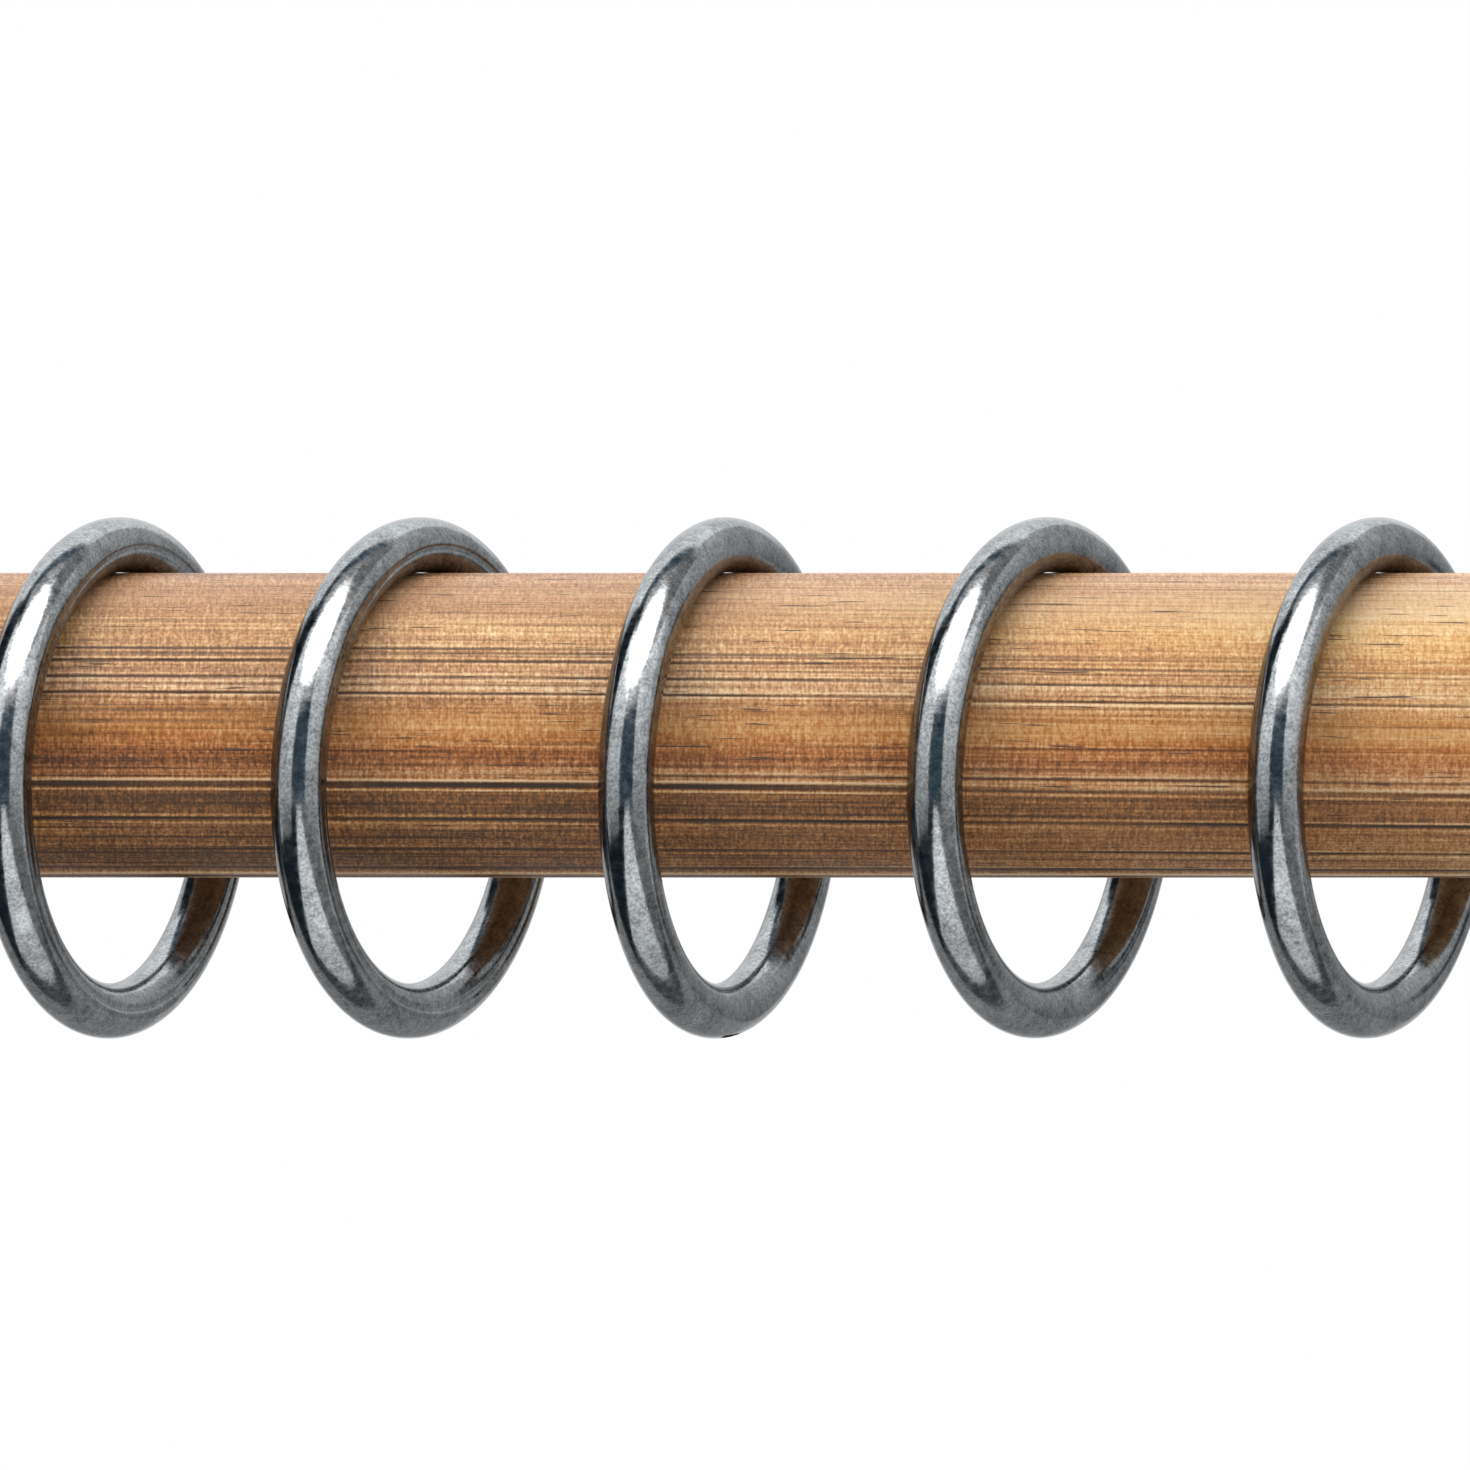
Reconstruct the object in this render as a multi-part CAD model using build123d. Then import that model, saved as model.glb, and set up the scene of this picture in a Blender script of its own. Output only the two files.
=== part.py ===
from build123d import *
import os
from math import acos, cos, degrees, sqrt

# Curtain pole set: a round wooden pole that carries five plain steel rings. Two steel cup brackets
# hold the pole off the wall, and a plain steel cap closes each of its ends.
# Millimetres. X runs along the pole, Y points into the wall, Z is up.
# The origin is on the wall, at the centre of the four wall screw holes.

# Pole
POLE_DIAMETER = 35.0
POLE_LENGTH = 600.0
POLE_END_CHAMFER = 1.0

# Rings: round bar bent to a circle and butt welded
RING_WIRE = 6.35            # quarter-inch bar
RING_PLAY = 12.2            # ring bore less pole diameter
RING_CLEARANCE = 0.12       # between a hanging ring and the pole
RING_PLACES = (-71.0, -36.5, -1.4, 35.5, 73.4)      # along the pole, from its middle
RING_TURNS = (0.62, 0.71, 0.61, 0.75, 0.73)         # share of the largest turn that the play allows

# Brackets
BRACKET_INSET = 60.0        # pole end to bracket centre
PROJECTION_DEPTH = 90.0     # wall to pole axis
STEM_DIAMETER = 18.0
STEM_RISE = 2.2             # cup's underside to stem's underside
CUP_WALL = 3.5
CUP_WIDTH = 22.0
CUP_CLEARANCE = 0.2         # between the pole and the cup
PLATE_DIAMETER = 60.0
PLATE_THICKNESS = 5.0
PLATE_EDGE_FILLET = 1.5
WALL_HOLE_DIAMETER = 5.0
WALL_HOLE_SPACING = 38.0
WALL_COUNTERSINK_DIAMETER = 9.5
COUNTERSINK_ANGLE = 90
SPIGOT_DIAMETER = 10.0
SPIGOT_LENGTH = 14.0
SPIGOT_CLEARANCE = 0.1      # between the spigot and the stem's socket, on the radius
SOCKET_END_GAP = 0.5
COLLAR_DIAMETER = 26.0      # foot of the stem, against the wall plate
COLLAR_LENGTH = 6.0
STEM_TAPER_LENGTH = 8.0     # from the collar down to the stem

# End caps
CAP_WALL = 3.0
CAP_DEPTH = 24.0            # bore that the pole's end goes into
CAP_END = 6.0
CAP_CLEARANCE = 0.15        # between the pole and the cap, on the radius
CAP_END_FILLET = 2.5
CAP_MOUTH_FILLET = 0.8

# Screws
ARM_SCREW_DIAMETER = 5.0
CAP_SCREW_DIAMETER = 4.0
SET_SCREW_RECESS = 0.3          # below the surface that it enters
SET_SCREW_SOCKET = 0.5          # hexagon across flats, share of the screw's diameter
SET_SCREW_SOCKET_DEPTH = 1.6
POLE_SCREW_DIAMETER = 4.0
POLE_SCREW_GRIP = 12.0          # length in the wood
POLE_SCREW_POINT = 3.0
POLE_SCREW_HEAD_DIAMETER = 7.5
POLE_SCREW_HEAD_HEIGHT = 2.6
POLE_SCREW_SLOT_WIDTH = 1.0
POLE_SCREW_SLOT_DEPTH = 1.2
SPOT_FACE_DIAMETER = 9.0        # flat under the head, on the cup's round underside
SCREW_CLEARANCE = 0.05          # around each screw, on the radius

# Sizes and places that follow
POLE_RADIUS = POLE_DIAMETER / 2
RING_BORE = POLE_DIAMETER + RING_PLAY
RING_RADIUS = (RING_BORE + RING_WIRE) / 2       # to the middle of the bar
CUP_BORE_RADIUS = POLE_RADIUS + CUP_CLEARANCE
CUP_RADIUS = CUP_BORE_RADIUS + CUP_WALL
CAP_BORE_RADIUS = POLE_RADIUS + CAP_CLEARANCE
CAP_RADIUS = CAP_BORE_RADIUS + CAP_WALL
STEM_DROP = CUP_RADIUS - STEM_RISE - STEM_DIAMETER / 2      # pole axis to stem axis
BRACKET_X = POLE_LENGTH / 2 - BRACKET_INSET
POLE_Y = -PROJECTION_DEPTH
POLE_Z = STEM_DROP
SPOT_FACE_Z = -sqrt(CUP_RADIUS**2 - (SPOT_FACE_DIAMETER / 2) ** 2)      # from the pole axis
CAP_SCREW_X = POLE_LENGTH / 2 - CAP_DEPTH / 2
SIDES = {"left": -1, "right": 1}

ALONG_POLE = Plane.YZ           # sketches across the pole: local X is Y, local Y is Z
POLE_AXIS = Location((0, POLE_Y, POLE_Z))


def rod_along_x(radius, length):
    """Round bar along X, centred on the origin."""
    return extrude(ALONG_POLE * Circle(radius), length / 2, both=True)


def turned_along_y(profile):
    """Solid of revolution about Y, from (distance from the wall, radius) points."""
    outline = Polyline([(radius, -off_wall) for off_wall, radius in profile], close=True)
    return revolve(make_face(outline), Axis.Y)


def hang_depth(turn):
    """How far a ring's centre hangs below the pole axis when it has swung round by turn, in radians.

    Seen along the pole, the bar's centre line is an ellipse that narrows as the ring turns. It stays one
    pole radius, half a bar and the clearance away from the pole axis: at its crown while the ring turns
    a little, and beyond that at a point on each side.
    """
    height = RING_RADIUS
    width = RING_RADIUS * cos(turn)
    reach = POLE_RADIUS + RING_CLEARANCE + RING_WIRE / 2
    spread = height**2 - width**2
    if height - reach >= spread / height:
        return height - reach
    return sqrt(spread * (1 - (reach / width) ** 2))


def make_ring(place, share):
    """One ring where it hangs, its front swung to the left."""
    largest_turn = acos((POLE_RADIUS + RING_CLEARANCE + RING_WIRE / 2) / RING_RADIUS)
    turn = share * largest_turn
    ring = Rot(0, 90, 0) * Torus(RING_RADIUS, RING_WIRE / 2)
    return Pos(place, POLE_Y, POLE_Z - hang_depth(turn)) * Rot(0, 0, -degrees(turn)) * ring


def make_pole():
    """The wooden pole, with a pilot hole over each bracket."""
    pole = rod_along_x(POLE_RADIUS, POLE_LENGTH)
    ends = pole.edges().filter_by(GeomType.CIRCLE)
    pole = chamfer(ends, POLE_END_CHAMFER)
    pilot_radius = POLE_SCREW_DIAMETER / 2 + SCREW_CLEARANCE
    pilot_depth = POLE_SCREW_GRIP + POLE_SCREW_POINT + SCREW_CLEARANCE
    for side in SIDES.values():
        foot = Pos(side * BRACKET_X, 0, -POLE_RADIUS)
        pole -= foot * Cylinder(pilot_radius, 2 * pilot_depth)
    return POLE_AXIS * pole


def make_wall_plate():
    """Round plate with two countersunk holes, and a spigot that carries the arm."""
    back, front = 0, PLATE_THICKNESS
    tip = PLATE_THICKNESS + SPIGOT_LENGTH
    disc = turned_along_y([(back, 0), (back, PLATE_DIAMETER / 2), (front, PLATE_DIAMETER / 2), (front, 0)])
    rim = disc.edges().filter_by(GeomType.CIRCLE).sort_by(Axis.Y)[0]
    plate = fillet(rim, PLATE_EDGE_FILLET)
    plate += turned_along_y([(back, 0), (back, SPIGOT_DIAMETER / 2), (tip, SPIGOT_DIAMETER / 2), (tip, 0)])
    for half in (-1, 1):
        mouth = Location((0, -front, half * WALL_HOLE_SPACING / 2), (90, 0, 0))
        plate -= mouth * CounterSinkHole(
            WALL_HOLE_DIAMETER / 2,
            WALL_COUNTERSINK_DIAMETER / 2,
            2 * PLATE_THICKNESS,
            COUNTERSINK_ANGLE,
        )
    return plate


def cup_section():
    """Half ring with rounded tips, open upwards, about the pole axis."""
    middle = (CUP_RADIUS + CUP_BORE_RADIUS) / 2
    band = Circle(CUP_RADIUS) - Circle(CUP_BORE_RADIUS)
    band -= Pos(0, CUP_RADIUS) * Rectangle(4 * CUP_RADIUS, 2 * CUP_RADIUS)
    tips = [Pos(end * middle, 0) * Circle(CUP_WALL / 2) for end in (-1, 1)]
    return band + tips


def make_bracket_arm():
    """Stem, collar and cup in one casting."""
    foot = PLATE_THICKNESS
    collar = foot + COLLAR_LENGTH
    taper = collar + STEM_TAPER_LENGTH
    stem_radius = STEM_DIAMETER / 2
    arm = turned_along_y(
        [
            (foot, 0),
            (foot, COLLAR_DIAMETER / 2),
            (collar, COLLAR_DIAMETER / 2),
            (taper, stem_radius),
            (PROJECTION_DEPTH, stem_radius),
            (PROJECTION_DEPTH, 0),
        ]
    )
    arm -= POLE_AXIS * rod_along_x(CUP_RADIUS - CUP_WALL / 2, 2 * STEM_DIAMETER)
    cup = POLE_AXIS * extrude(ALONG_POLE * cup_section(), CUP_WIDTH / 2, both=True)
    arm += cup

    socket_end = foot + SPIGOT_LENGTH + SOCKET_END_GAP
    socket_radius = SPIGOT_DIAMETER / 2 + SPIGOT_CLEARANCE
    arm -= turned_along_y([(0, 0), (0, socket_radius), (socket_end, socket_radius), (socket_end, 0)])

    screw_hole = Cylinder(ARM_SCREW_DIAMETER / 2 + SCREW_CLEARANCE, COLLAR_DIAMETER)
    arm -= Pos(0, -arm_screw_off_wall(), -COLLAR_DIAMETER / 2) * screw_hole

    spot_face = Pos(0, 0, SPOT_FACE_Z - CUP_WALL / 2) * Cylinder(SPOT_FACE_DIAMETER / 2, CUP_WALL)
    pole_screw_hole = Pos(0, 0, -CUP_RADIUS) * Cylinder(POLE_SCREW_DIAMETER / 2 + SCREW_CLEARANCE, 3 * CUP_WALL)
    return arm - POLE_AXIS * spot_face - POLE_AXIS * pole_screw_hole


def arm_screw_off_wall():
    """Distance of the arm's set screw from the wall."""
    return PLATE_THICKNESS + COLLAR_LENGTH / 2


def make_set_screw(diameter, length):
    """Headless screw along Z, its hexagon socket facing down, its tip at the origin."""
    screw = Pos(0, 0, -length / 2) * Cylinder(diameter / 2, length)
    hexagon = RegularPolygon(SET_SCREW_SOCKET * diameter / 2, 6, major_radius=False)
    socket = extrude(Pos(0, 0, -length) * hexagon, SET_SCREW_SOCKET_DEPTH)
    return screw - socket


def make_arm_screw():
    """Set screw in the collar that locks the arm on its spigot."""
    tip = SPIGOT_DIAMETER / 2
    length = COLLAR_DIAMETER / 2 - SET_SCREW_RECESS - tip
    return Pos(0, -arm_screw_off_wall(), -tip) * make_set_screw(ARM_SCREW_DIAMETER, length)


def make_pole_screw():
    """Pan head wood screw, up through the cup into the pole."""
    shank_radius = POLE_SCREW_DIAMETER / 2
    head_radius = POLE_SCREW_HEAD_DIAMETER / 2
    shank_top = -POLE_RADIUS + POLE_SCREW_GRIP
    shank_length = shank_top - SPOT_FACE_Z
    shank = Pos(0, 0, (shank_top + SPOT_FACE_Z) / 2) * Cylinder(shank_radius, shank_length)
    point = Pos(0, 0, shank_top + POLE_SCREW_POINT / 2) * Cone(shank_radius, 0, POLE_SCREW_POINT)
    head = Pos(0, 0, SPOT_FACE_Z - POLE_SCREW_HEAD_HEIGHT / 2) * Cylinder(head_radius, POLE_SCREW_HEAD_HEIGHT)
    crown = head.edges().filter_by(GeomType.CIRCLE).sort_by(Axis.Z)[0]
    head = fillet(crown, POLE_SCREW_HEAD_HEIGHT / 2)
    slot = Pos(0, 0, SPOT_FACE_Z - POLE_SCREW_HEAD_HEIGHT) * Box(
        POLE_SCREW_HEAD_DIAMETER, POLE_SCREW_SLOT_WIDTH, 2 * POLE_SCREW_SLOT_DEPTH
    )
    return POLE_AXIS * (shank + point + head - slot)


def make_end_cap(side):
    """Cup that slips over the pole's end, with a tapped hole below."""
    mouth = POLE_LENGTH / 2 - CAP_DEPTH
    floor = POLE_LENGTH / 2
    outside = floor + CAP_END
    length = outside - mouth
    cap = Pos((mouth + outside) / 2, 0, 0) * rod_along_x(CAP_RADIUS, length)
    rims = cap.edges().filter_by(GeomType.CIRCLE).sort_by(Axis.X)
    cap = fillet(rims[-1], CAP_END_FILLET)
    mouth_rim = cap.edges().filter_by(GeomType.CIRCLE).sort_by(Axis.X)[0]
    cap = fillet(mouth_rim, CAP_MOUTH_FILLET)
    cap -= Pos((mouth + floor) / 2, 0, 0) * rod_along_x(CAP_BORE_RADIUS, CAP_DEPTH)
    hole = Cylinder(CAP_SCREW_DIAMETER / 2 + SCREW_CLEARANCE, 3 * CAP_WALL)
    cap -= Pos(CAP_SCREW_X, 0, -CAP_RADIUS) * hole
    return POLE_AXIS * (cap if side > 0 else mirror(cap, Plane.YZ))


def make_cap_screw(side):
    """Set screw that holds a cap on the pole."""
    length = CAP_RADIUS - SET_SCREW_RECESS - POLE_RADIUS
    screw = make_set_screw(CAP_SCREW_DIAMETER, length)
    return POLE_AXIS * Pos(side * CAP_SCREW_X, 0, -POLE_RADIUS) * screw


def make_all():
    """Every piece of the set, by name."""
    pieces = {"pole": make_pole()}
    for number, (place, share) in enumerate(zip(RING_PLACES, RING_TURNS), start=1):
        pieces[f"ring_{number}"] = make_ring(place, share)
    for name, side in SIDES.items():
        at_bracket = Pos(side * BRACKET_X, 0, 0)
        pieces[f"wall_plate_{name}"] = at_bracket * make_wall_plate()
        pieces[f"bracket_arm_{name}"] = at_bracket * make_bracket_arm()
        pieces[f"arm_set_screw_{name}"] = at_bracket * make_arm_screw()
        pieces[f"pole_screw_{name}"] = at_bracket * make_pole_screw()
        pieces[f"end_cap_{name}"] = make_end_cap(side)
        pieces[f"cap_set_screw_{name}"] = make_cap_screw(side)
    return pieces


def main():
    os.makedirs("parts", exist_ok=True)
    for name, piece in make_all().items():
        export_step(piece, f"parts/{name}.step")


if __name__ == "__main__":
    main()
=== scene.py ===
import math
import random

import bpy
import numpy as np
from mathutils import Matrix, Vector


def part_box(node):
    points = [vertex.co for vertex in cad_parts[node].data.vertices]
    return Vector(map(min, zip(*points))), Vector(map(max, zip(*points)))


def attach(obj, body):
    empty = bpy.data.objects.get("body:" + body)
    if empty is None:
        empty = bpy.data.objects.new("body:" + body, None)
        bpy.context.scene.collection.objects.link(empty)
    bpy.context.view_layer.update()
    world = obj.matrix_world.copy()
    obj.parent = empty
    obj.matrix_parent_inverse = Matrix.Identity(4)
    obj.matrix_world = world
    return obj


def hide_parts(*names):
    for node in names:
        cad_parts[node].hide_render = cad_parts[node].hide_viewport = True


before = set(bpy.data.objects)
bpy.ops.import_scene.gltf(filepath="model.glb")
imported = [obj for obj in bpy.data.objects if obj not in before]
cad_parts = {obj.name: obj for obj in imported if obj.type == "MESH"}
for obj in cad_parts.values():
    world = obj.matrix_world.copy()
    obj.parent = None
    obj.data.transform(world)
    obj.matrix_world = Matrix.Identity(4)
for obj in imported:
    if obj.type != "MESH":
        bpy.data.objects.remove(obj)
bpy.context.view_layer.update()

# Curtain pole set: a wooden pole with five steel rings, two wall brackets and two end caps.
# Lengths are in millimetres and angles in degrees, unless a comment says otherwise.

MM = 0.001
FIXED_BODY = "pole_and_brackets"
SIDES = ("left", "right")
RING_NAMES = [f"ring_{number}" for number in range(1, 6)]

# Camera, placed from the pole's axis
CAMERA_DISTANCE = 1000
CAMERA_RISE = 55.9
CAMERA_PITCH = 3.264        # downwards
CAMERA_LENS = 213.6
SENSOR = 36

# Pole mesh
POLE_AROUND = 800           # points round it
POLE_ALONG = 118            # spans between its rows of points
POLE_CHAMFER = 1.0

# Grain: every line and band sways round the pole as it runs along it
SWAY_ANGLE = 5.3            # to each side
SWAY_LENGTH = 130           # along the pole, for each radian of the wave
SWAY_CREST = -103           # along the pole, from its middle
GROOVE_DEPTH = 0.10
LIP_SHARE = 0.40            # raised wood beside a groove, as a share of its depth
LIP_PLACE = 1.8             # its place and half width, in half widths of the groove
LIP_WIDTH = 0.7
LINE_FADE = 5               # softness of a line's two ends
END = 320                   # past the pole's end

# Dark lines on the front: angle above the front, strength, half width, start and end along the pole.
# A strength below zero is a light line: a raised lip whose lightness is a painted highlight, and at -72 by
# the lower edge a painted rim reflection.
FRONT_LINES = (
    (67.0, 0.30, 0.17, -END, END),
    (52.0, 0.30, 0.17, 4, 60),
    (48.0, 0.45, 0.17, 8, 22),
    (45.0, 0.40, 0.17, -80, -54),
    (40.0, 0.40, 0.17, -80, -54),
    (32.0, 0.85, 0.18, -END, -10),
    (30.5, 0.50, 0.17, 18, 72),
    (30.3, 0.85, 0.17, -46, 14),
    (26.8, 0.85, 0.18, -END, 13),
    (25.5, 0.70, 0.17, 6, 62),
    (20.4, 0.88, 0.18, -END, 23),
    (19.4, 0.75, 0.17, 23, 64),
    (17.4, 0.50, 0.17, -END, 4),
    (14.2, 0.90, 0.17, -END, 23),
    (13.0, 0.70, 0.17, 23, END),
    (11.7, -0.45, 0.22, 23, 64),
    (10.5, 0.25, 0.17, -24, 62),
    (7.6, 0.50, 0.17, -END, -54),
    (3.3, 0.95, 0.20, -76, -58),
    (4.9, 0.35, 0.17, 66, 110),
    (-4.3, 0.70, 0.17, -26, -12),
    (-4.7, 0.60, 0.17, 6, 60),
    (-12.5, 0.50, 0.20, -42, 46),
    (-16.0, 0.40, 0.17, -42, 60),
    (-18.6, -0.70, 0.14, -END, 23),
    (-20.5, 1.00, 0.34, -END, 23),
    (-22.4, -0.55, 0.14, -END, 23),
    (-19.2, -0.40, 0.17, 23, END),
    (-21.2, 0.62, 0.24, 23, END),
    (-23.0, -0.40, 0.20, 23, END),
    (-27.0, 0.30, 0.20, 2, 100),
    (-32.0, 0.30, 0.17, -40, 60),
    (-35.4, 1.00, 0.27, -END, END),
    (-51.5, 0.80, 0.30, -64, END),
    (-66.0, 0.95, 0.40, -END, END),
    (-72.0, -0.85, 0.55, -END, END),
    (-79.5, 0.90, 0.80, -END, END),
)

# Fine lines, drawn at random within zones
GRAIN_SEED = 7
FINE_LENGTH = (20, 160)
FINE_LAST_START = 0.8       # share of END
FINE_SPREAD = 0.6           # about the zone's middle, as a share of its half width
FINE_STRENGTH = (0.12, 0.60)
FINE_WIDTH = (0.10, 0.19)   # half width
# Zones on the front: angle and half width, number of lines
FRONT_ZONES = ((24.0, 9.0, 16), (8.0, 8.0, 6), (-15.0, 7.0, 10), (-34.0, 6.0, 8), (-56.0, 10.0, 16))
# Zones at the back: how many, and the least and the most of each value
BACK_ZONES = 14
BACK_ANGLE = (105, 275)
BACK_HALF_WIDTH = (5, 12)
BACK_LINES = (8, 18)

# Lighter and darker bands: angle and half width, tone. They are partly grain stripes and partly painted
# light, lighter on the top and darker underneath.
FRONT_BANDS_AND_SHADE = (
    (72.0, 14.0, 0.16),
    (50.0, 14.0, 0.11),
    (31.0, 8.0, -0.04),
    (16.0, 5.0, 0.13),
    (4.0, 7.0, 0.16),
    (-9.0, 5.0, -0.09),
    (-17.0, 3.5, 0.11),
    (-27.0, 5.0, -0.12),
    (-38.0, 7.0, 0.05),
    (-58.0, 24.0, -0.15),
)
# Plain wood with little grain: angle and half width, share of the grain that is gone
PLAIN_BANDS = ((58.0, 17.0, 0.55), (3.0, 7.0, 0.40))
# Grey wood, partly weathered and partly a painted sheen on the upper half: angle and half width, share of
# the colour that is gone, or added below zero
GREY_AND_SHEEN_BANDS = (
    (80.0, 14.0, 0.10),
    (58.0, 17.0, 0.16),
    (30.0, 8.0, 0.05),
    (17.0, 7.0, 0.09),
    (-2.0, 8.0, -0.05),
)
# Yellower wood, or redder below zero: angle and half width, turn of the hue
HUE_BANDS = ((40.0, 16.0, 0.006), (-9.0, 11.0, -0.009))
# Lighter and darker patches on the front: place along the pole and angle,
# half length along the pole and half width in degrees, tone
PATCHES = (
    (-53, 26, 26, 9, -0.10),
    (-53, -2, 22, 6, 0.11),
    (-58, -28, 30, 7, -0.12),
    (-19, 16, 16, 6, 0.10),
    (16, 54, 18, 13, 0.11),
    (54, -17, 18, 6, 0.13),
    (80, -4, 14, 6, 0.09),
    (78, 8, 12, 4, -0.08),
    (80, -27, 16, 6, 0.08),
)
# Warm patch at the upper right: as the patches, with the share of the colour that is gone as the last value
WARM_PATCHES = ((85, 36, 55, 24, -0.12),)
# Lighter to the right, darker and with more grain to the left: place along the pole, tone,
# share of the grain that is gone
SIDE_STEPS = (
    (-300, -0.06, -0.05),
    (-60, -0.20, -0.15),
    (-20, -0.12, -0.10),
    (20, -0.045, -0.05),
    (80, 0.075, 0.05),
    (300, -0.03, 0.0),
)

# Noise in the wood: grain per metre along and across the pole, detail
WOOD_NOISE = {
    "broad": (7, 110, 2),
    "streak": (6, 620, 2),
    "thread": (9, 1700, 1),
    "fine": (45, 3400, 2),
    "speck": (3000, 2600, 2),
    "tick": (3400, 560, 1),
    "broken": (55, 900, 2),
    "pore": (130, 3000, 1),
}
# Spans: a value's low and high end, and what they become
GRAIN_TONES = (
    ("streak", 0.25, 0.75, -0.11, 0.11),
    ("thread", 0.56, 0.72, 0.0, -0.26),
    ("fine", 0.25, 0.75, -0.19, 0.19),
    ("speck", 0.25, 0.75, -0.24, 0.24),
    ("tick", 0.30, 0.72, 0.11, -0.18),
)
BROAD_TONE = (0.25, 0.75, 0.43, 0.74)
# Painted highlight: raised lips and light lines are made lighter, by the strength of a line
LIP_GLINT_TONE = (-1.0, -0.02, 0.80, 0.0)         # by the strength of a line
LINE_DARKNESS = (0.03, 0.75, 0.0, 1.0)      # by the strength of a line
LINE_BREAKS = (0.34, 0.54, 0.58, 1.0)
PORE_DARKNESS = (0.66, 0.74, 0.0, 1.0)
WOOD_ROUGHNESS = (0.3, 0.7, 0.44, 0.60)
# Colour of the wood by its tone
WOOD_COLOURS = (
    (0.00, (0.075, 0.030, 0.008)),
    (0.28, (0.225, 0.090, 0.024)),
    (0.52, (0.420, 0.172, 0.047)),
    (0.76, (0.580, 0.330, 0.128)),
    (1.00, (0.715, 0.505, 0.285)),
)
LINE_COLOUR = (0.026, 0.011, 0.004, 1)
PORE_COLOUR = (0.07, 0.035, 0.018, 1)
UNTURNED_HUE = 0.5
WOOD_SHINE = 0.32
WOOD_RELIEF = 0.05
WOOD_RELIEF_STRENGTH = 0.6

# Rings
RING_WIRE_RADIUS = 3.175
RING_REST = 0.11            # drop that brings a ring down on the pole
RING_AROUND = 216           # points round the ring and round its bar
WIRE_AROUND = 180
SEAM_ANGLE = 95.0           # round the bar, from its outside
SEAM_HALF_WIDTH = 7.0
SEAM_SOFTNESS = 0.6         # of the groove's edges
SEAM_DEPTH = 0.20
SEAM_FADE = 0.45            # share of the depth that is gone at the ring's front
SEAM_TO_FRONT = ("ring_1", "ring_2")
# A dark mark at the bottom of one ring
DARK_MARK_RING = "ring_3"
DARK_MARK_SHIFT = 0.9            # to the right of the ring's lowest point
DARK_MARK_HALF_WIDTH = 1.0
DARK_MARK_HEIGHT = 0.55

# Steels: dark and light colour, roughness from and to, size of the speckle
STEELS = {
    "ring_steel": ((0.07, 0.073, 0.077, 1), (0.40, 0.405, 0.41, 1), (0.10, 0.20), 0.32),
    "bracket_steel": ((0.16, 0.17, 0.20, 1), (0.26, 0.27, 0.29, 1), (0.24, 0.42), 0.35),
    "screw_steel": ((0.24, 0.25, 0.27, 1), (0.37, 0.38, 0.39, 1), (0.20, 0.38), 0.22),
}
# Noise in the steel: size in speckles, detail, share of the light colour
STEEL_NOISE = {
    "speck": (1, 1, 0.42),
    "patch": (3, 2, 0.30),
    "cloud": (14, 2, 0.28),
}
STEEL_SPAN = (0.3, 0.7)     # low and high end of that noise
STEEL_RELIEF = 0.007
STEEL_RELIEF_STRENGTH = 0.3
EDGE_TINT = (0.75, 0.75, 0.76, 1)   # of steel seen edge on
# Colour of that dark mark
DARK_MARK_COLOUR = (0.02, 0.02, 0.025, 1)
# Fittings on each side, and their steel
FITTINGS = {
    "wall_plate": "bracket_steel",
    "bracket_arm": "bracket_steel",
    "end_cap": "bracket_steel",
    "arm_set_screw": "screw_steel",
    "pole_screw": "screw_steel",
    "cap_set_screw": "screw_steel",
}

# Studio, in metres
FLOOR_DROP = 1.2
FLOOR_RADIUS = 5.0
FLOOR_SIDES = 96
FLOOR_COLOUR = (0.82, 0.82, 0.82, 1)
FLOOR_ROUGHNESS = 0.8
FLOOR_GLOW = 0.70           # where the floor is seen
WORLD_LIGHT = 0.25          # strength of the light from all round
WHITE = (1, 1, 1, 1)
BLACK = (0, 0, 0, 1)
# Soft lamps: azimuth and elevation, distance, size, power in watts, whether it is only mirrored
LAMPS = (
    ("key", -4, 61, 1.0, (1.28, 0.93), 7.8, False),
    ("key_shine", -3, 63, 0.95, (1.22, 0.80), 11.5, True),
    ("key_glow", -3, 63, 0.97, (1.40, 1.00), 4.5, True),
    ("fill_left", -50, 20, 1.2, (0.9, 1.0), 8.5, False),
    ("fill_right", 48, 6, 1.2, (0.9, 1.0), 3.4, False),
    ("rim", 180, 32, 1.4, (1.6, 1.2), 12, False),
)
CARD_WHITE = (0.95, 0.99, 1.0, 1)
CARD_BLUE = (0.45, 0.75, 1.0, 1)
# Cards that face the pole: azimuth and elevation, distance, size, glow at the bottom and the top, colour
STANDING_CARDS = (
    ("front", 0, 11, 1.6, (1.66, 1.17), (0.24, 0.24), CARD_BLUE),
    ("left", -53, 20, 1.3, (1.20, 2.25), (0.38, 3.15), CARD_WHITE),
    ("right", 53, 10, 1.3, (1.25, 1.50), (0.30, 2.6), CARD_WHITE),
    ("back_left", -106, 5, 1.5, (1.15, 5.0), (0.045, 0.045), CARD_BLUE),
    ("back_right", 122, 12, 1.5, (1.60, 2.10), (0.38, 1.2), CARD_WHITE),
    ("back", 185, 38, 1.5, (2.2, 1.5), (1.5, 2.4), CARD_WHITE),
    ("right_high", 98, 56, 1.4, (0.70, 0.75), (0.52, 0.52), CARD_WHITE),
    ("above_back", 180, 72, 1.5, (2.0, 0.34), (0.30, 0.30), CARD_BLUE),
)
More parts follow.
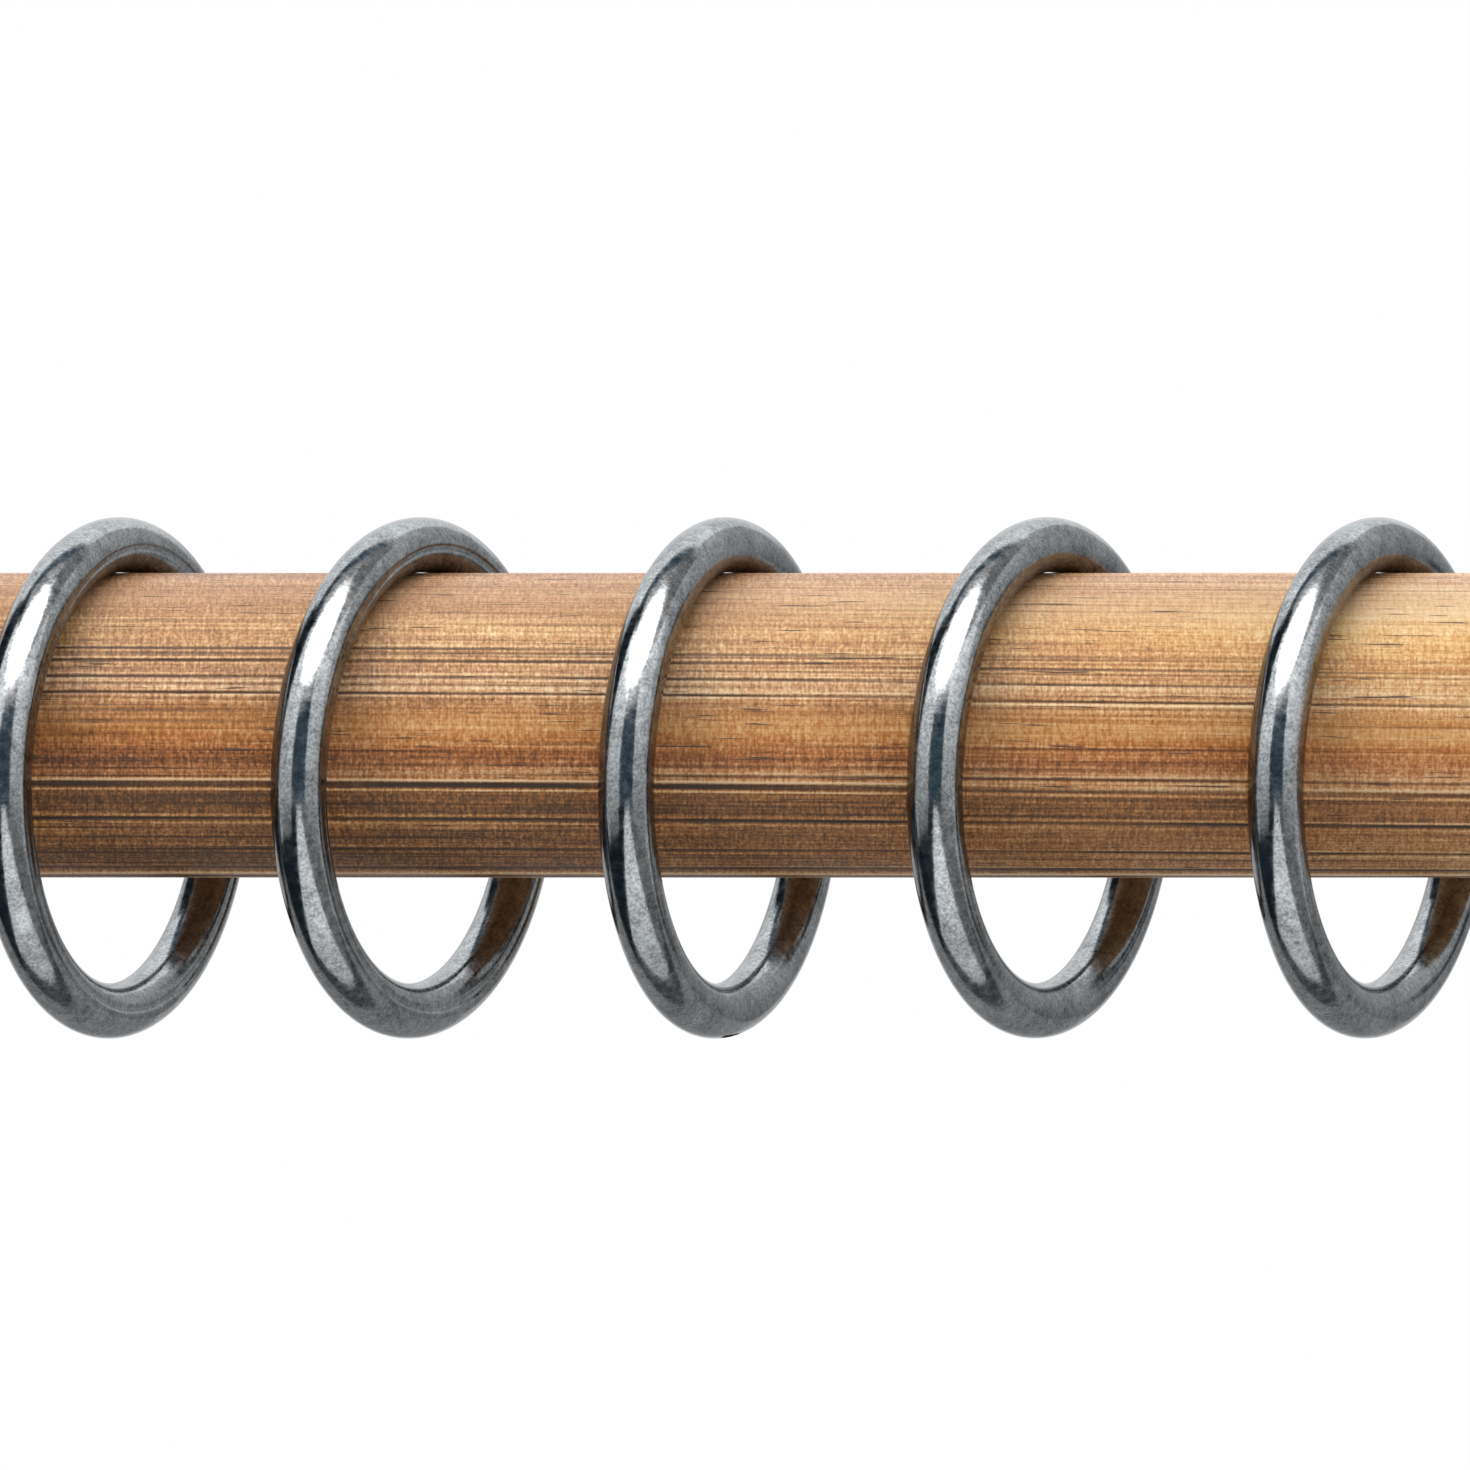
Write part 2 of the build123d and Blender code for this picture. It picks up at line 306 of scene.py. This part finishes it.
# Cards that lie flat below the pole: from and to sideways, from and to inwards, glow, colour
TABLE_DROP = 0.6
LYING_CARDS = (
    ("table_front", (-0.35, 0.60), (-3.6, -0.35), 2.0, CARD_WHITE),
    ("table_near", (-0.35, 0.52), (-0.35, -0.04), 1.47, CARD_WHITE),
    ("table_left", (-1.7, -0.35), (-3.6, 0.25), 0.06, CARD_BLUE),
    ("table_right", (0.60, 2.4), (-3.6, -0.04), 0.45, CARD_WHITE),
    ("table_middle", (-0.35, 1.7), (-0.04, 0.16), 0.18, CARD_WHITE),
    ("table_back", (-1.7, 2.4), (0.16, 1.20), 0.62, CARD_WHITE),
)


def pole_axis():
    """Middle of the pole, and its radius and length, in metres."""
    low, high = (Vector(corner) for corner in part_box("pole"))
    size = high - low
    return (low + high) / 2, size.z / 2, size.x


AXIS, POLE_RADIUS, POLE_LENGTH = pole_axis()


# Node helpers

def add_node(tree, kind, inputs=None, **settings):
    """A new node with its settings and inputs. A socket given as an input is linked."""
    node = tree.nodes.new(kind)
    for name, value in settings.items():
        setattr(node, name, value)
    for name, value in (inputs or {}).items():
        socket = node.inputs[name]
        if isinstance(value, bpy.types.NodeSocket):
            tree.links.new(value, socket)
        else:
            socket.default_value = value
    return node


def new_material(name):
    """A new node material, with its tree and its principled shader."""
    material = bpy.data.materials.new(name)
    material.use_nodes = True
    tree = material.node_tree
    shader = tree.nodes["Principled BSDF"]
    return material, tree, shader


def painted(tree, name, output="Fac"):
    """What is painted on the points of the mesh under a name."""
    return add_node(tree, "ShaderNodeAttribute", attribute_name=name).outputs[output]


def math_node(tree, operation, first, second):
    """Result of one sum on two values."""
    return add_node(tree, "ShaderNodeMath", {0: first, 1: second}, operation=operation).outputs[0]


def add_up(tree, values):
    """Several values added up."""
    total, *others = values
    for value in others:
        total = math_node(tree, "ADD", total, value)
    return total


def stretched_noise(tree, place, scale, detail):
    """Noise whose grain is scale (x, y, z) per metre."""
    moved = add_node(tree, "ShaderNodeVectorMath", {0: place, 1: scale}, operation="MULTIPLY")
    inputs = {"Vector": moved.outputs[0], "Scale": 1.0, "Detail": detail}
    return add_node(tree, "ShaderNodeTexNoise", inputs).outputs[0]


def remap(tree, value, low, high, new_low, new_high):
    """Value from one range to another, held at the ends."""
    inputs = {"Value": value, "From Min": low, "From Max": high, "To Min": new_low, "To Max": new_high}
    return add_node(tree, "ShaderNodeMapRange", inputs, clamp=True).outputs[0]


def mix_colour(tree, factor, first, second):
    """Two colours mixed. Sockets 6, 7 and 2 are the node's colours."""
    return add_node(tree, "ShaderNodeMix", {0: factor, 6: first, 7: second}, data_type="RGBA").outputs[2]


def colour_ramp(tree, value, stops):
    """Colour by value, from (position, colour) stops."""
    node = add_node(tree, "ShaderNodeValToRGB", {0: value})
    elements = node.color_ramp.elements
    while len(elements) < len(stops):
        elements.new(0.5)
    for element, (position, colour) in zip(elements, stops):
        element.position = position
        element.color = (*colour, 1)
    return node.outputs[0]


def add_bump(tree, shader, height, depth, strength):
    """Fine relief on a shader."""
    inputs = {"Height": height, "Distance": depth * MM, "Strength": strength}
    node = add_node(tree, "ShaderNodeBump", inputs)
    tree.links.new(node.outputs[0], shader.inputs["Normal"])


# Materials

def wood_material():
    """Brushed, oiled brown wood: bands and lines from the mesh, streaks, pores and speckle from noise. The
    mesh also carries painted light: a lighter top and darker underside, a painted sheen that greys the top,
    and painted highlights on raised lips.
    """
    material, tree, shader = new_material("pole_wood")
    place = painted(tree, "grain", "Vector")
    line = painted(tree, "line")
    noise = {}
    for name, (along, across, detail) in WOOD_NOISE.items():
        noise[name] = stretched_noise(tree, place, (along, across, across), detail)

    grain = add_up(tree, [remap(tree, noise[name], *span) for name, *span in GRAIN_TONES])
    grain = math_node(tree, "MULTIPLY", grain, math_node(tree, "SUBTRACT", 1.0, painted(tree, "plain")))
    broad = remap(tree, noise["broad"], *BROAD_TONE)
    # Painted highlight on the raised lips and light lines
    lips = remap(tree, line, *LIP_GLINT_TONE)
    # The tone carries painted light from the mesh: lighter on the top, darker underneath.
    tone = add_up(tree, [painted(tree, "tone_and_shade"), broad, grain, lips])
    # Colour is taken out where the wood is grey, and on the upper half as a painted sheen.
    turned = {
        "Hue": math_node(tree, "ADD", painted(tree, "hue"), UNTURNED_HUE),
        "Saturation": math_node(tree, "SUBTRACT", 1.0, painted(tree, "grey")),
        "Color": colour_ramp(tree, tone, WOOD_COLOURS),
    }
    colour = add_node(tree, "ShaderNodeHueSaturation", turned).outputs[0]
    pore = remap(tree, noise["pore"], *PORE_DARKNESS)
    colour = mix_colour(tree, pore, colour, PORE_COLOUR)
    breaks = remap(tree, noise["broken"], *LINE_BREAKS)
    dark = math_node(tree, "MULTIPLY", remap(tree, line, *LINE_DARKNESS), breaks)
    colour = mix_colour(tree, dark, colour, LINE_COLOUR)
    tree.links.new(colour, shader.inputs["Base Color"])

    tree.links.new(remap(tree, noise["fine"], *WOOD_ROUGHNESS), shader.inputs["Roughness"])
    shader.inputs["Specular IOR Level"].default_value = WOOD_SHINE
    relief = math_node(tree, "SUBTRACT", math_node(tree, "ADD", noise["fine"], noise["speck"]), pore)
    add_bump(tree, shader, relief, WOOD_RELIEF, WOOD_RELIEF_STRENGTH)
    return material


def steel_material(name):
    """Blue-grey steel, speckled in colour, polish and relief, and dark and not metallic where the mesh
    carries a dark mark.
    """
    dark, light, roughness, speck_size = STEELS[name]
    material, tree, shader = new_material(name)
    place = add_node(tree, "ShaderNodeTexCoord").outputs["Object"]
    dark_mark = painted(tree, "dark_mark")
    noise = {}
    shares = []
    for kind, (size, detail, share) in STEEL_NOISE.items():
        per_metre = 1 / (speck_size * MM) / size
        noise[kind] = stretched_noise(tree, place, (per_metre,) * 3, detail)
        shares.append(remap(tree, noise[kind], *STEEL_SPAN, 0.0, share))
    steel = mix_colour(tree, add_up(tree, shares), dark, light)
    tree.links.new(mix_colour(tree, dark_mark, steel, DARK_MARK_COLOUR), shader.inputs["Base Color"])
    tree.links.new(math_node(tree, "SUBTRACT", 1.0, dark_mark), shader.inputs["Metallic"])
    shader.inputs["Specular IOR Level"].default_value = 0.0
    shader.inputs["Specular Tint"].default_value = EDGE_TINT
    tree.links.new(remap(tree, noise["patch"], *STEEL_SPAN, *roughness), shader.inputs["Roughness"])
    add_bump(tree, shader, noise["speck"], STEEL_RELIEF, STEEL_RELIEF_STRENGTH)
    return material


# Pieces

def add_object(name, data):
    """A new object in the scene."""
    thing = bpy.data.objects.new(name, data)
    bpy.context.scene.collection.objects.link(thing)
    return thing


def add_piece(name, points, faces, material, body, node):
    """A smooth-shaded mesh that stands for a CAD node and rides on its body."""
    mesh = bpy.data.meshes.new(name)
    mesh.from_pydata(points, [], faces)
    mesh.shade_smooth()
    mesh.materials.append(material)
    piece = add_object(name, mesh)
    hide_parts(node)
    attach(piece, body)
    return piece


def paint_points(piece, name, values, kind="FLOAT", field="value"):
    """A value on each point of a mesh, for its material."""
    attribute = piece.data.attributes.new(name, kind, "POINT")
    attribute.data.foreach_set(field, values.ravel().astype(np.float32))


def grid_faces(rows, columns, close_rows=False):
    """Quads between rows of points, each row closed on itself."""
    faces = []
    for row in range(rows if close_rows else rows - 1):
        here = row * columns
        there = (row + 1) % rows * columns
        for column in range(columns):
            after = (column + 1) % columns
            faces.append((here + column, here + after, there + after, there + column))
    return faces


def soft_step(past, softness):
    """One before an edge and zero past it, with a soft change between."""
    return 1 / (1 + np.exp(past / softness))


def line_list():
    """Every line on the pole: angle, strength, half width, start and end along the pole."""
    draw = random.Random(GRAIN_SEED)
    lines = list(FRONT_LINES)
    zones = list(FRONT_ZONES)
    for _ in range(BACK_ZONES):
        zones.append((draw.uniform(*BACK_ANGLE), draw.uniform(*BACK_HALF_WIDTH), draw.randint(*BACK_LINES)))
    for middle, half_width, count in zones:
        for _ in range(count):
            start = draw.uniform(-END, END * FINE_LAST_START)
            end = start + draw.uniform(*FINE_LENGTH)
            angle = draw.gauss(middle, half_width * FINE_SPREAD)
            lines.append((angle, draw.uniform(*FINE_STRENGTH), draw.uniform(*FINE_WIDTH), start, end))
    return lines


def grain_angle(along, turn):
    """Degrees round the pole, from the front upwards, with the sway taken out."""
    sway = np.cos((along - SWAY_CREST) / SWAY_LENGTH) - math.cos(SWAY_CREST / SWAY_LENGTH)
    return np.degrees(turn) - SWAY_ANGLE * sway


def off_line(grain, middle):
    """Degrees from a line, the short way round."""
    return (grain - middle + 180) % 360 - 180


def line_strength(along, grain):
    """Strength of the dark lines over the pole's surface. It is below zero on their raised lips, which the
    colour lightens as a painted highlight.
    """
    strength = np.zeros(along.shape)
    mm_per_degree = math.radians(POLE_RADIUS / MM)
    for middle, strong, width, start, end in line_list():
        across = off_line(grain, middle) * mm_per_degree / width
        inside = soft_step(start - along, LINE_FADE) * soft_step(along - end, LINE_FADE)
        groove = np.exp(-across ** 2)
        lips = LIP_SHARE * np.exp(-((np.abs(across) - LIP_PLACE) / LIP_WIDTH) ** 2)
        strength += strong * inside * (groove - lips)
    return np.clip(strength, -1, 1)


def band_sum(grain, bands):
    """Soft bands along the grain, added up: each is strongest at its own angle."""
    total = np.zeros(grain.shape)
    for middle, half_width, strong in bands:
        total += strong * np.exp(-((off_line(grain, middle) / half_width) ** 2))
    return total


def patch_sum(along, grain, patches):
    """Soft patches on the front, added up."""
    total = np.zeros(grain.shape)
    for place, middle, half_length, half_width, strong in patches:
        off = ((along - place) / half_length) ** 2 + (off_line(grain, middle) / half_width) ** 2
        total += strong * np.exp(-off)
    return total


def side_values(along):
    """Tone of the wood and share of the grain that is gone, as they change along the pole."""
    places, tones, shares = zip(*SIDE_STEPS)
    return np.interp(along, places, tones), np.interp(along, places, shares)


def pole_grid():
    """For each mesh point, its place along the pole, its turn in radians and its inset at a chamfer."""
    half = POLE_LENGTH / MM / 2
    body_rows = np.linspace(-half + POLE_CHAMFER, half - POLE_CHAMFER, POLE_ALONG + 1)
    rows = np.concatenate(([-half], body_rows, [half]))
    turns = np.linspace(0, 2 * math.pi, POLE_AROUND, endpoint=False)
    along, turn = np.meshgrid(rows, turns, indexing="ij")
    inset = np.zeros(along.shape)
    inset[[0, -1]] = POLE_CHAMFER
    return along, turn, inset


def paint_grain(pole, along, grain, reach):
    """Tone, grain and colour of the wood on the pole's points, with painted light in the tone and in the
    grey, and the places that its noise is read at.
    """
    side_tone, side_plain = side_values(along)
    # Tone: grain stripes, patches and painted shade, with the top lighter and the underside darker.
    paint_points(pole, "tone_and_shade", band_sum(grain, FRONT_BANDS_AND_SHADE) + patch_sum(along, grain, PATCHES) + side_tone)
    paint_points(pole, "plain", band_sum(grain, PLAIN_BANDS) + side_plain)
    # Grey: weathered wood, and on the upper half a painted sheen that takes colour out.
    paint_points(pole, "grey", band_sum(grain, GREY_AND_SHEEN_BANDS) + patch_sum(along, grain, WARM_PATCHES))
    paint_points(pole, "hue", band_sum(grain, HUE_BANDS))
    turned = np.radians(grain)
    place = np.stack((along, reach * np.cos(turned), reach * np.sin(turned)), axis=-1) * MM
    paint_points(pole, "grain", place, "FLOAT_VECTOR", "vector")


def make_pole(material):
    """The pole with its grain in relief. A turn of 0 faces the room, and it grows upwards."""
    along, turn, inset = pole_grid()
    grain = grain_angle(along, turn)
    strength = line_strength(along, grain)
    reach = POLE_RADIUS / MM - inset - GROOVE_DEPTH * strength
    x = along * MM
    y = AXIS.y - reach * np.cos(turn) * MM
    z = AXIS.z + reach * np.sin(turn) * MM
    points = np.stack((x, y, z), axis=-1).reshape(-1, 3)
    faces = grid_faces(len(along), POLE_AROUND)
    last_row = len(points) - POLE_AROUND
    faces.append(tuple(range(POLE_AROUND - 1, -1, -1)))
    faces.append(tuple(range(last_row, len(points))))
    pole = add_piece("pole_grain", points.tolist(), faces, material, FIXED_BODY, "pole")
    paint_points(pole, "line", strength)
    paint_grain(pole, along, grain, reach)


def seam_depth(round_bar):
    """Depth of the seam groove, by degrees round the bar."""
    off = np.abs(round_bar - SEAM_ANGLE)
    return SEAM_DEPTH * soft_step(off - SEAM_HALF_WIDTH, SEAM_SOFTNESS)


def ring_points(radius, front, side):
    """Points of a ring about its own middle, with one row of points round the bar after another."""
    up = np.array((0, 0, 1))
    round_bar = np.linspace(0, 360, WIRE_AROUND, endpoint=False)
    groove = seam_depth(round_bar)
    points = []
    for angle in np.linspace(0, 2 * math.pi, RING_AROUND, endpoint=False):
        outward = front * math.cos(angle) + up * math.sin(angle)
        bar = RING_WIRE_RADIUS - groove * (1 - SEAM_FADE * max(math.cos(angle), 0))
        for degrees, thick in zip(round_bar, bar):
            turn = math.radians(degrees)
            reach = radius + thick * math.cos(turn)
            points.append(outward * reach + side * thick * math.sin(turn))
    return np.array(points)


def bottom_mark_points(points, half_height):
    """One on the points of the dark mark at the bottom of a ring, and zero elsewhere."""
    near = np.abs(points[:, 0] - DARK_MARK_SHIFT) < DARK_MARK_HALF_WIDTH
    low = points[:, 2] < -half_height + DARK_MARK_HEIGHT
    return (near & low).astype(float)


def make_ring(name, material):
    """A ring of bent bar with a rolled seam along one side, and on one ring a dark mark at its bottom."""
    low, high = (Vector(corner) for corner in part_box(name))
    half = (high - low) / 2 / MM
    radius = half.z - RING_WIRE_RADIUS
    turn = math.asin((half.x - RING_WIRE_RADIUS) / radius)
    front = np.array((-math.sin(turn), -math.cos(turn), 0))
    side = np.array((math.cos(turn), -math.sin(turn), 0))
    faces = grid_faces(RING_AROUND, WIRE_AROUND, close_rows=True)
    if name not in SEAM_TO_FRONT:
        side = -side
        faces = [face[::-1] for face in faces]
    points = ring_points(radius, front, side)
    dark_mark = bottom_mark_points(points, half.z) if name == DARK_MARK_RING else np.zeros(len(points))
    points[:, 2] -= RING_REST
    points = points * MM + np.array((low + high) / 2)
    ring = add_piece(f"{name}_bar", points.tolist(), faces, material, name, name)
    paint_points(ring, "dark_mark", dark_mark)


def dress_fittings(steels):
    """Brackets, caps and screws keep their CAD shapes and get steel."""
    for side in SIDES:
        for kind, steel in FITTINGS.items():
            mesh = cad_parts[f"{kind}_{side}"].data
            mesh.materials.clear()
            mesh.materials.append(steels[steel])


# Studio

def add_camera():
    """Camera in front of the pole, a little above it and tilted down."""
    data = bpy.data.cameras.new("camera")
    data.lens = CAMERA_LENS
    data.sensor_width = SENSOR
    camera = add_object("camera", data)
    camera.location = AXIS + Vector((0, -CAMERA_DISTANCE, CAMERA_RISE)) * MM
    camera.rotation_euler = (math.radians(90 - CAMERA_PITCH), 0, 0)
    bpy.context.scene.camera = camera


def bearing(azimuth, elevation):
    """Direction from the pole. Azimuth 0 is towards the camera and grows to the right."""
    turn = math.radians(azimuth)
    rise = math.radians(elevation)
    return Vector((math.sin(turn) * math.cos(rise), -math.cos(turn) * math.cos(rise), math.sin(rise)))


def facing(towards):
    """Rotation of a lamp or card in that direction, so that it faces the pole."""
    return towards.to_track_quat("Z", "Y").to_euler()


def add_lamp(name, azimuth, elevation, distance, size, power, mirrored):
    """Oval area light that faces the pole. It either lights surfaces or is only mirrored in them."""
    data = bpy.data.lights.new(name, "AREA")
    data.shape = "ELLIPSE"
    data.size, data.size_y = size
    data.energy = power
    lamp = add_object(name, data)
    towards = bearing(azimuth, elevation)
    lamp.location = AXIS + towards * distance
    lamp.rotation_euler = facing(towards)
    lamp.visible_camera = False
    lamp.visible_diffuse = not mirrored
    lamp.visible_glossy = mirrored


def card_material(name, height, glow, colour):
    """Black card whose glow runs from a low to a high value up the card."""
    material, tree, shader = new_material(name)
    shader.inputs["Base Color"].default_value = BLACK
    shader.inputs["Specular IOR Level"].default_value = 0.0
    shader.inputs["Emission Color"].default_value = colour
    place = add_node(tree, "ShaderNodeTexCoord").outputs["Object"]
    upwards = add_node(tree, "ShaderNodeSeparateXYZ", {"Vector": place}).outputs["Y"]
    strength = remap(tree, upwards, -height / 2, height / 2, *glow)
    tree.links.new(strength, shader.inputs["Emission Strength"])
    return material


def add_card(name, place, turn, size, glow, colour):
    """Card that only shows in the steel."""
    width, height = size
    corners = [(x * width / 2, y * height / 2, 0) for x, y in ((-1, -1), (1, -1), (1, 1), (-1, 1))]
    mesh = bpy.data.meshes.new(name)
    mesh.from_pydata(corners, [], [(0, 1, 2, 3)])
    mesh.materials.append(card_material(name, height, glow, colour))
    card = add_object(name, mesh)
    card.location = AXIS + place
    card.rotation_euler = turn
    card.visible_camera = False
    card.visible_diffuse = False
    card.visible_shadow = False


def stand_card(name, azimuth, elevation, distance, size, glow, colour):
    """Card that faces the pole."""
    towards = bearing(azimuth, elevation)
    add_card(name, towards * distance, facing(towards), size, glow, colour)


def lay_card(name, sideways, inwards, glow, colour):
    """Card that lies flat below the pole, between two places sideways and two inwards."""
    left, right = sideways
    near, far = inwards
    place = Vector(((left + right) / 2, (near + far) / 2, -TABLE_DROP))
    add_card(name, place, (0, 0, 0), (right - left, far - near), (glow, glow), colour)


def seen_rays(tree):
    """One for the rays that see the background: straight from the camera, mirrored or through glass."""
    rays = add_node(tree, "ShaderNodeLightPath").outputs
    return add_up(tree, [rays["Is Camera Ray"], rays["Is Glossy Ray"], rays["Is Transmission Ray"]])


def floor_material():
    """Pale floor, nearly white where it is seen. The camera looks through it from below."""
    material, tree, shader = new_material("floor")
    shader.inputs["Base Color"].default_value = FLOOR_COLOUR
    shader.inputs["Roughness"].default_value = FLOOR_ROUGHNESS
    shader.inputs["Emission Color"].default_value = WHITE
    glow = math_node(tree, "MULTIPLY", seen_rays(tree), FLOOR_GLOW)
    tree.links.new(glow, shader.inputs["Emission Strength"])
    camera_ray = add_node(tree, "ShaderNodeLightPath").outputs["Is Camera Ray"]
    underside = add_node(tree, "ShaderNodeNewGeometry").outputs["Backfacing"]
    from_below = math_node(tree, "MULTIPLY", camera_ray, underside)
    clear = add_node(tree, "ShaderNodeBsdfTransparent").outputs[0]
    surface = add_node(tree, "ShaderNodeMixShader", {0: from_below, 1: shader.outputs[0], 2: clear})
    tree.links.new(surface.outputs[0], tree.nodes["Material Output"].inputs["Surface"])
    return material


def add_floor():
    """Round floor, well below the pole."""
    mesh = bpy.data.meshes.new("floor")
    height = AXIS.z - FLOOR_DROP
    turns = [2 * math.pi * step / FLOOR_SIDES for step in range(FLOOR_SIDES)]
    rim = [(FLOOR_RADIUS * math.cos(turn), FLOOR_RADIUS * math.sin(turn), height) for turn in turns]
    mesh.from_pydata(rim, [], [tuple(range(FLOOR_SIDES))])
    mesh.materials.append(floor_material())
    add_object("floor", mesh)


def add_world():
    """Soft grey light from all round, and white where it is seen, mirrored or looked through."""
    world = bpy.data.worlds.new("studio")
    bpy.context.scene.world = world
    world.use_nodes = True
    tree = world.node_tree
    background = tree.nodes["Background"]
    background.inputs["Color"].default_value = WHITE
    tree.links.new(remap(tree, seen_rays(tree), 0, 1, WORLD_LIGHT, 1.0), background.inputs["Strength"])


def light_studio():
    """Big overhead lamp towards the room, softer fills, and the room that the steel mirrors."""
    bpy.context.scene.view_settings.view_transform = "Standard"
    add_world()
    add_floor()
    for lamp in LAMPS:
        add_lamp(*lamp)
    for card in STANDING_CARDS:
        stand_card(*card)
    for card in LYING_CARDS:
        lay_card(*card)


def main():
    """Camera, pieces and studio."""
    add_camera()
    steels = {name: steel_material(name) for name in STEELS}
    make_pole(wood_material())
    for name in RING_NAMES:
        make_ring(name, steels["ring_steel"])
    dress_fittings(steels)
    light_studio()


main()
